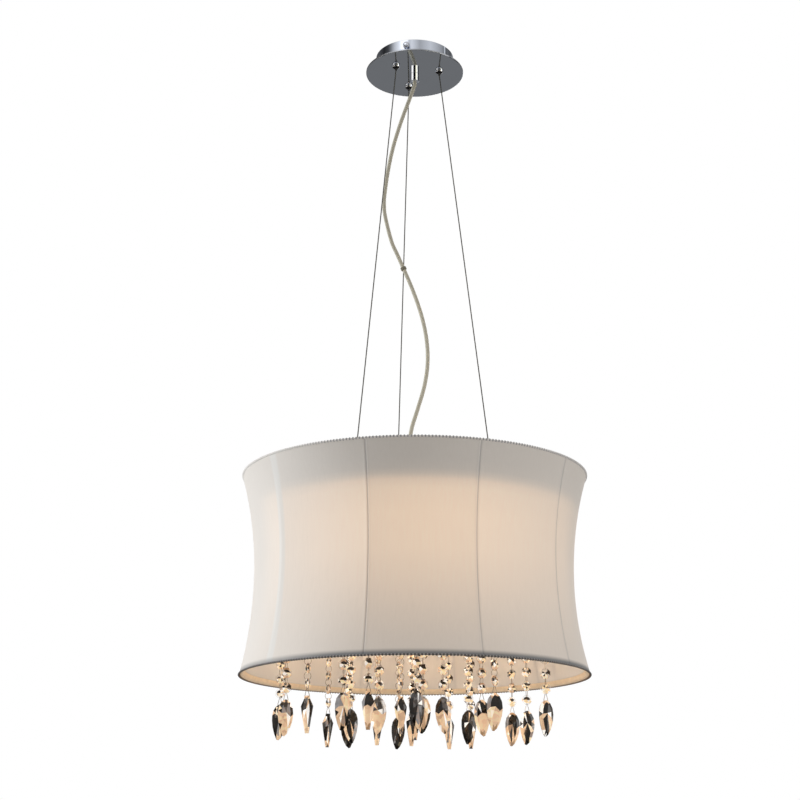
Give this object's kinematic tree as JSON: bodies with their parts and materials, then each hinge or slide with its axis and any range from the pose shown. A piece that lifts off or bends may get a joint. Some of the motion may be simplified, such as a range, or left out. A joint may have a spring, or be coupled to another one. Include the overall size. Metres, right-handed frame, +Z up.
{
  "type": "drum chandelier",
  "caption": "Hourglass fabric drum pendant on steel wires, with a mirror canopy, a hidden lamp tray and hanging cut-crystal strands below the shade.",
  "frame": {"origin": "centre of the ceiling face of the mounting strip", "axes": "+Z up into the ceiling, -Y towards the front"},
  "size_m": [0.4614, 0.4612, 0.9734],
  "materials": {
    "zinc": "zinc plated",
    "chrome": "bright plated",
    "mirror": "mirror polished",
    "plated": "satin plated",
    "steel_wire": "stranded",
    "flex": "pale translucent sleeve",
    "clip": "black",
    "porcelain": "glazed",
    "bulb_glass": "frosted, lit",
    "crystal": "cut and polished",
    "white_wire": "powder coated",
    "shade_cloth": "fine weave",
    "lining": "smooth lining",
    "braid": "fine scalloped braid"
  },
  "bodies": {
    "root": {"mounting_bar": "zinc", "canopy_cup": "chrome", "canopy_plate": "mirror", "wire_gripper_left": "chrome", "suspension_wire_left": "steel_wire", "wire_anchor_left": "chrome", "wire_gripper_right": "chrome", "suspension_wire_right": "steel_wire", "wire_anchor_right": "chrome", "wire_gripper_back": "chrome", "suspension_wire_back": "steel_wire", "wire_anchor_back": "chrome", "cord_grip": "chrome", "power_cord": "flex", "cord_clip": "clip", "mirror_tray": "mirror", "wiring_cup": "chrome", "lamp_socket_1": "porcelain", "lamp_socket_2": "porcelain", "lamp_socket_3": "porcelain", "crystal_frame": "chrome", "finial": "chrome"},
    "shade": {"shade_frame": "white_wire", "shade_fabric": "shade_cloth", "shade_liner": "lining", "top_trim": "braid", "bottom_trim": "braid"},
    "gripper_plunger_left": {"gripper_plunger_left": "plated"},
    "gripper_plunger_right": {"gripper_plunger_right": "plated"},
    "gripper_plunger_back": {"gripper_plunger_back": "plated"},
    "canopy_thumbscrew_front": {"canopy_thumbscrew_front": "chrome"},
    "canopy_thumbscrew_back": {"canopy_thumbscrew_back": "chrome"},
    "bulb_1": {"bulb_1": "bulb_glass"},
    "bulb_2": {"bulb_2": "bulb_glass"},
    "bulb_3": {"bulb_3": "bulb_glass"},
    "outer_strand_01": {"outer_strand_01": "crystal"},
    "outer_strand_02": {"outer_strand_02": "crystal"},
    "outer_strand_03": {"outer_strand_03": "crystal"},
    "outer_strand_04": {"outer_strand_04": "crystal"},
    "outer_strand_05": {"outer_strand_05": "crystal"},
    "outer_strand_06": {"outer_strand_06": "crystal"},
    "outer_strand_07": {"outer_strand_07": "crystal"},
    "outer_strand_08": {"outer_strand_08": "crystal"},
    "outer_strand_09": {"outer_strand_09": "crystal"},
    "outer_strand_10": {"outer_strand_10": "crystal"},
    "outer_strand_11": {"outer_strand_11": "crystal"},
    "outer_strand_12": {"outer_strand_12": "crystal"},
    "outer_strand_13": {"outer_strand_13": "crystal"},
    "outer_strand_14": {"outer_strand_14": "crystal"},
    "outer_strand_15": {"outer_strand_15": "crystal"},
    "inner_strand_01": {"inner_strand_01": "crystal"},
    "inner_strand_02": {"inner_strand_02": "crystal"},
    "inner_strand_03": {"inner_strand_03": "crystal"},
    "inner_strand_04": {"inner_strand_04": "crystal"},
    "inner_strand_05": {"inner_strand_05": "crystal"},
    "inner_strand_06": {"inner_strand_06": "crystal"},
    "inner_strand_07": {"inner_strand_07": "crystal"},
    "inner_strand_08": {"inner_strand_08": "crystal"},
    "inner_strand_09": {"inner_strand_09": "crystal"},
    "centre_strand": {"centre_strand": "crystal"}
  },
  "joints": [
    {"name": "shade_lift", "type": "slide", "parent": "root", "child": "shade", "axis": [0, 0, 1], "range_m": [0, 0.6]},
    {"name": "plunger_press_left", "type": "slide", "parent": "root", "child": "gripper_plunger_left", "axis": [0, 0, 1], "range_m": [0, 0.002], "stiffness_N_per_m": 600},
    {"name": "plunger_press_right", "type": "slide", "parent": "root", "child": "gripper_plunger_right", "axis": [0, 0, 1], "range_m": [0, 0.002], "stiffness_N_per_m": 600},
    {"name": "plunger_press_back", "type": "slide", "parent": "root", "child": "gripper_plunger_back", "axis": [0, 0, 1], "range_m": [0, 0.002], "stiffness_N_per_m": 600},
    {"name": "thumbscrew_turn_front", "type": "hinge", "parent": "root", "child": "canopy_thumbscrew_front", "pos_m": [-0.00997, -0.049, -0.0105], "axis": [-0.1994, -0.9799, 0], "range_deg": [0, 1080]},
    {"name": "thumbscrew_turn_back", "type": "hinge", "parent": "root", "child": "canopy_thumbscrew_back", "pos_m": [0.00997, 0.049, -0.0105], "axis": [0.1994, 0.9799, 0], "range_deg": [0, 1080]},
    {"name": "bulb_unscrew_1", "type": "hinge", "parent": "root", "child": "bulb_1", "pos_m": [0.02173, -0.05378, -0.74], "axis": [0, 0, 1], "range_deg": [0, 1080]},
    {"name": "bulb_unscrew_2", "type": "hinge", "parent": "root", "child": "bulb_2", "pos_m": [0.03571, 0.04571, -0.74], "axis": [0, 0, 1], "range_deg": [0, 1080]},
    {"name": "bulb_unscrew_3", "type": "hinge", "parent": "root", "child": "bulb_3", "pos_m": [-0.05744, 0.00807, -0.74], "axis": [0, 0, 1], "range_deg": [0, 1080]},
    {"name": "outer_strand_01_swing", "type": "hinge", "parent": "root", "child": "outer_strand_01", "pos_m": [-0.174, 0, -0.8264], "axis": [0, 1, 0], "range_deg": [-7, 18]},
    {"name": "outer_strand_02_swing", "type": "hinge", "parent": "root", "child": "outer_strand_02", "pos_m": [-0.16068, -0.06557, -0.8264], "axis": [-0.3778, 0.9259, 0], "range_deg": [-7, 18]},
    {"name": "outer_strand_03_swing", "type": "hinge", "parent": "root", "child": "outer_strand_03", "pos_m": [-0.13114, -0.114, -0.8264], "axis": [-0.6561, 0.7547, 0], "range_deg": [-7, 18]},
    {"name": "outer_strand_04_swing", "type": "hinge", "parent": "root", "child": "outer_strand_04", "pos_m": [-0.08562, -0.15133, -0.8264], "axis": [-0.8704, 0.4924, 0], "range_deg": [-7, 18]},
    {"name": "outer_strand_05_swing", "type": "hinge", "parent": "root", "child": "outer_strand_05", "pos_m": [-0.0551, -0.16469, -0.8264], "axis": [-0.9483, 0.3173, 0], "range_deg": [-7, 18]},
    {"name": "outer_strand_06_swing", "type": "hinge", "parent": "root", "child": "outer_strand_06", "pos_m": [0.00243, -0.17379, -0.8264], "axis": [-0.9999, -0.014, 0], "range_deg": [-7, 18]},
    {"name": "outer_strand_07_swing", "type": "hinge", "parent": "root", "child": "outer_strand_07", "pos_m": [0.0957, -0.14459, -0.8264], "axis": [-0.8339, -0.5519, 0], "range_deg": [-7, 18]},
    {"name": "outer_strand_08_swing", "type": "hinge", "parent": "root", "child": "outer_strand_08", "pos_m": [0.16445, -0.05598, -0.8264], "axis": [-0.3223, -0.9466, 0], "range_deg": [-7, 18]},
    {"name": "outer_strand_09_swing", "type": "hinge", "parent": "root", "child": "outer_strand_09", "pos_m": [0.15095, 0.08645, -0.8264], "axis": [0.497, -0.8678, 0], "range_deg": [-7, 18]},
    {"name": "outer_strand_10_swing", "type": "hinge", "parent": "root", "child": "outer_strand_10", "pos_m": [0.13265, 0.11249, -0.8264], "axis": [0.6468, -0.7627, 0], "range_deg": [-7, 18]},
    {"name": "outer_strand_11_swing", "type": "hinge", "parent": "root", "child": "outer_strand_11", "pos_m": [0.07737, 0.15518, -0.8264], "axis": [0.8949, -0.4462, 0], "range_deg": [-7, 18]},
    {"name": "outer_strand_12_swing", "type": "hinge", "parent": "root", "child": "outer_strand_12", "pos_m": [0.0472, 0.16681, -0.8264], "axis": [0.9622, -0.2723, 0], "range_deg": [-7, 18]},
    {"name": "outer_strand_13_swing", "type": "hinge", "parent": "root", "child": "outer_strand_13", "pos_m": [-0.02265, 0.17202, -0.8264], "axis": [0.9914, 0.1305, 0], "range_deg": [-7, 18]},
    {"name": "outer_strand_14_swing", "type": "hinge", "parent": "root", "child": "outer_strand_14", "pos_m": [-0.09198, 0.1472, -0.8264], "axis": [0.848, 0.5299, 0], "range_deg": [-7, 18]},
    {"name": "outer_strand_15_swing", "type": "hinge", "parent": "root", "child": "outer_strand_15", "pos_m": [-0.11829, 0.12685, -0.8264], "axis": [0.7314, 0.682, 0], "range_deg": [-7, 18]},
    {"name": "inner_strand_01_swing", "type": "hinge", "parent": "root", "child": "inner_strand_01", "pos_m": [-0.04404, -0.09444, -0.8264], "axis": [-0.9063, 0.4226, 0], "range_deg": [-4, 6]},
    {"name": "inner_strand_02_swing", "type": "hinge", "parent": "root", "child": "inner_strand_02", "pos_m": [-0.01719, -0.10274, -0.8264], "axis": [-0.9863, 0.165, 0], "range_deg": [-4, 6]},
    {"name": "inner_strand_03_swing", "type": "hinge", "parent": "root", "child": "inner_strand_03", "pos_m": [0.00998, -0.10369, -0.8264], "axis": [-0.9954, -0.0958, 0], "range_deg": [-4, 6]},
    {"name": "inner_strand_04_swing", "type": "hinge", "parent": "root", "child": "inner_strand_04", "pos_m": [0.0348, -0.09827, -0.8264], "axis": [-0.9426, -0.3338, 0], "range_deg": [-4, 6]},
    {"name": "inner_strand_05_swing", "type": "hinge", "parent": "root", "child": "inner_strand_05", "pos_m": [0.08336, -0.06236, -0.8264], "axis": [-0.599, -0.8007, 0], "range_deg": [-4, 6]},
    {"name": "inner_strand_06_swing", "type": "hinge", "parent": "root", "child": "inner_strand_06", "pos_m": [0.07205, 0.07593, -0.8264], "axis": [0.7254, -0.6884, 0], "range_deg": [-4, 6]},
    {"name": "inner_strand_07_swing", "type": "hinge", "parent": "root", "child": "inner_strand_07", "pos_m": [-0.00401, 0.10447, -0.8264], "axis": [0.9993, 0.0384, 0], "range_deg": [-4, 6]},
    {"name": "inner_strand_08_swing", "type": "hinge", "parent": "root", "child": "inner_strand_08", "pos_m": [-0.04995, 0.09199, -0.8264], "axis": [0.8788, 0.4772, 0], "range_deg": [-4, 6]},
    {"name": "inner_strand_09_swing", "type": "hinge", "parent": "root", "child": "inner_strand_09", "pos_m": [-0.0848, 0.06049, -0.8264], "axis": [0.5807, 0.8141, 0], "range_deg": [-4, 6]},
    {"name": "centre_strand_swing", "type": "hinge", "parent": "root", "child": "centre_strand", "pos_m": [0, 0, -0.8264], "axis": [1, 0, 0], "range_deg": [-8, 8]}
  ]
}
